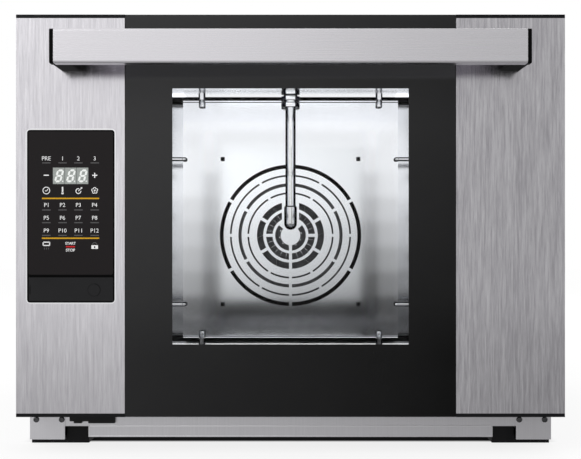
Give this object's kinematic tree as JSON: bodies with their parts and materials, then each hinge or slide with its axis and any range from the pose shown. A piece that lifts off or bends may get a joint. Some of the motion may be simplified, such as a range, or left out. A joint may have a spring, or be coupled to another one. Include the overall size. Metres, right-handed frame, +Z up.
{
  "type": "convection oven",
  "caption": "Countertop convection oven with a drop-down glass door, full-width bar handle, side touch panel, ring-slotted fan guard and wire tray racks.",
  "frame": {"origin": "under the middle of the oven's whole box, on the surface that its feet stand on", "axes": "+X to the right as seen from the front, +Y to the back, +Z up; the door faces -Y"},
  "size_m": [0.6, 0.66, 0.48],
  "materials": {
    "steel": "satin stainless steel sheet",
    "brushed_skin": "vertical brushed stainless steel",
    "handle_steel": "level brushed stainless steel",
    "chamber_steel": "bright stainless steel sheet",
    "zinc_steel": "zinc-coated steel sheet",
    "dark_steel": "dark plated steel",
    "black_metal": "black painted steel",
    "chrome": "bright chromed steel",
    "heater": "dark oxidised tube",
    "motor": "cast motor body",
    "aluminium": "plain extrusion",
    "rubber": "matt black rubber",
    "silicone": "dark silicone seal",
    "hose": "white plastic tube",
    "wool": "mineral wool with a foil face",
    "valve_plastic": "white moulded plastic",
    "circuit_board": "green circuit board",
    "black_plastic": "black moulded plastic",
    "matte_black": "finely textured black plastic",
    "black_print": "black enamel fired on the back of the glass",
    "clear_glass": "clear tempered glass",
    "panel_glass": "black glass with white marks",
    "display": "grey-green display with white digits"
  },
  "bodies": {
    "cabinet": {"base_pan": "steel", "foot_plates": "steel", "foot_front_left": "rubber", "foot_front_right": "rubber", "foot_rear_left": "rubber", "foot_rear_right": "rubber", "base_screws": "dark_steel", "side_panel_left": "steel", "side_panel_right": "steel", "top_cover": "steel", "rear_panel": "zinc_steel", "front_frame": "steel", "rear_bulkhead": "zinc_steel", "chamber_liner": "chamber_steel", "chamber_gasket": "silicone", "insulation_top": "wool", "insulation_bottom": "wool", "insulation_sides": "wool", "insulation_rear": "wool", "fan_guard": "chamber_steel", "guard_fixings": "dark_steel", "steam_pipe": "chrome", "pipe_fitting": "chrome", "feed_tube": "hose", "side_rack_left": "chrome", "side_rack_right": "chrome", "heating_element": "heater", "temperature_probe": "chrome", "fan_motor": "motor", "flue_pipe": "steel", "water_valve": "valve_plastic", "power_board": "circuit_board", "cable_gland": "black_plastic", "cooling_fan_frame": "black_plastic", "hinge_lugs": "dark_steel", "harness_cover": "black_plastic"},
    "fan": {"fan_wheel": "chamber_steel", "fan_nut": "chrome", "motor_shaft": "dark_steel"},
    "cooling_fan": {"cooling_fan_rotor": "black_plastic"},
    "door": {"door_frame": "black_metal", "door_outer_glass": "clear_glass", "glass_border": "black_print", "door_inner_glass": "clear_glass", "door_liner": "steel", "glass_clips": "steel", "led_bars": "aluminium", "door_skin_left": "brushed_skin", "door_skin_right": "brushed_skin", "handle_bar": "handle_steel", "handle_ends": "black_plastic", "control_housing": "black_plastic", "control_glass": "panel_glass", "display_module": "display", "control_board": "circuit_board", "hinge_blocks": "dark_steel", "hinge_pins": "dark_steel", "door_stays": "dark_steel"},
    "service_cover": {"port_cover": "matte_black"}
  },
  "joints": [
    {"name": "door_hinge", "type": "hinge", "parent": "cabinet", "child": "door", "pos_m": [0, -0.232, 0.048], "axis": [1, 0, 0], "range_deg": [0, 80], "stiffness_Nm_per_rad": 8, "springref_deg": -28.65},
    {"name": "fan_spin", "type": "hinge", "parent": "cabinet", "child": "fan", "pos_m": [0, 0.16, 0.2385], "axis": [0, 1, 0], "continuous": true},
    {"name": "cooling_fan_spin", "type": "hinge", "parent": "cabinet", "child": "cooling_fan", "pos_m": [0.15, 0.304, 0.13], "axis": [0, 1, 0], "continuous": true},
    {"name": "service_cover_hinge", "type": "hinge", "parent": "door", "child": "service_cover", "pos_m": [-0.2855, -0.2718, 0.1797], "axis": [0, 0, -1], "range_deg": [0, 90]}
  ]
}
